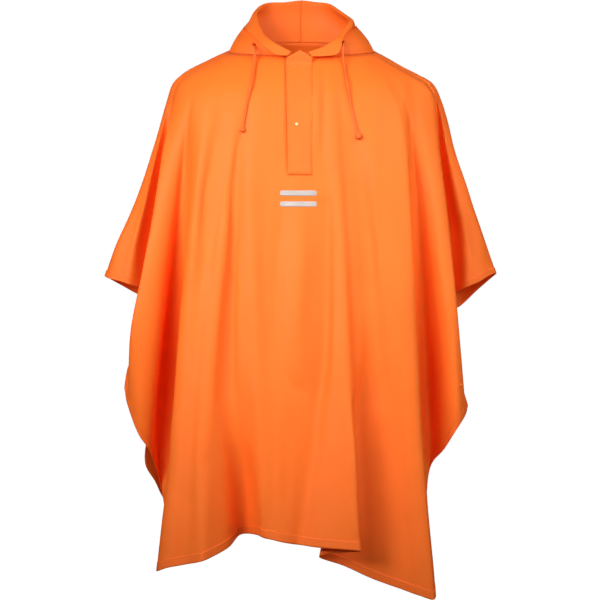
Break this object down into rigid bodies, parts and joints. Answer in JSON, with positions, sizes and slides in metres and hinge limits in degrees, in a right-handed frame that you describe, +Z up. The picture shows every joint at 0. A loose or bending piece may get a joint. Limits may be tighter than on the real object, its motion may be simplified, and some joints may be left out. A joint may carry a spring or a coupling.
{
  "type": "hooded rain poncho",
  "caption": "Loose hooded rain poncho shown as worn, with wide short sleeves, a snapped half placket, a hood drawcord and a curved hem.",
  "frame": {"origin": "middle of the wearer's shoulders at the base of the neck, where the poncho hangs", "axes": "+Z up, -Y out of the wearer's chest, +X to the wearer's left (right in the picture)"},
  "size_m": [0.7638, 0.3404, 1.1592],
  "materials": {
    "front_panel": "satin coated cloth",
    "back_panel": "satin coated cloth",
    "hood_left": "satin coated cloth",
    "hood_right": "satin coated cloth",
    "placket": "satin coated cloth",
    "snap_upper": "cloth-covered snap",
    "snap_lower": "bright brass",
    "snap_side": "bright brass",
    "eyelet_left": "coated ring",
    "eyelet_right": "coated ring",
    "drawcord_left": "round braided cord",
    "drawcord_right": "round braided cord",
    "cord_knot_left": "cord end knot",
    "cord_knot_right": "cord end knot"
  },
  "bodies": {
    "root": {"front_panel": "front_panel", "back_panel": "back_panel", "hood_left": "hood_left", "hood_right": "hood_right", "placket": "placket", "snap_upper": "snap_upper", "snap_lower": "snap_lower", "snap_side": "snap_side", "eyelet_left": "eyelet_left", "eyelet_right": "eyelet_right", "drawcord_left": "drawcord_left", "drawcord_right": "drawcord_right", "cord_knot_left": "cord_knot_left", "cord_knot_right": "cord_knot_right"}
  },
  "joints": []
}
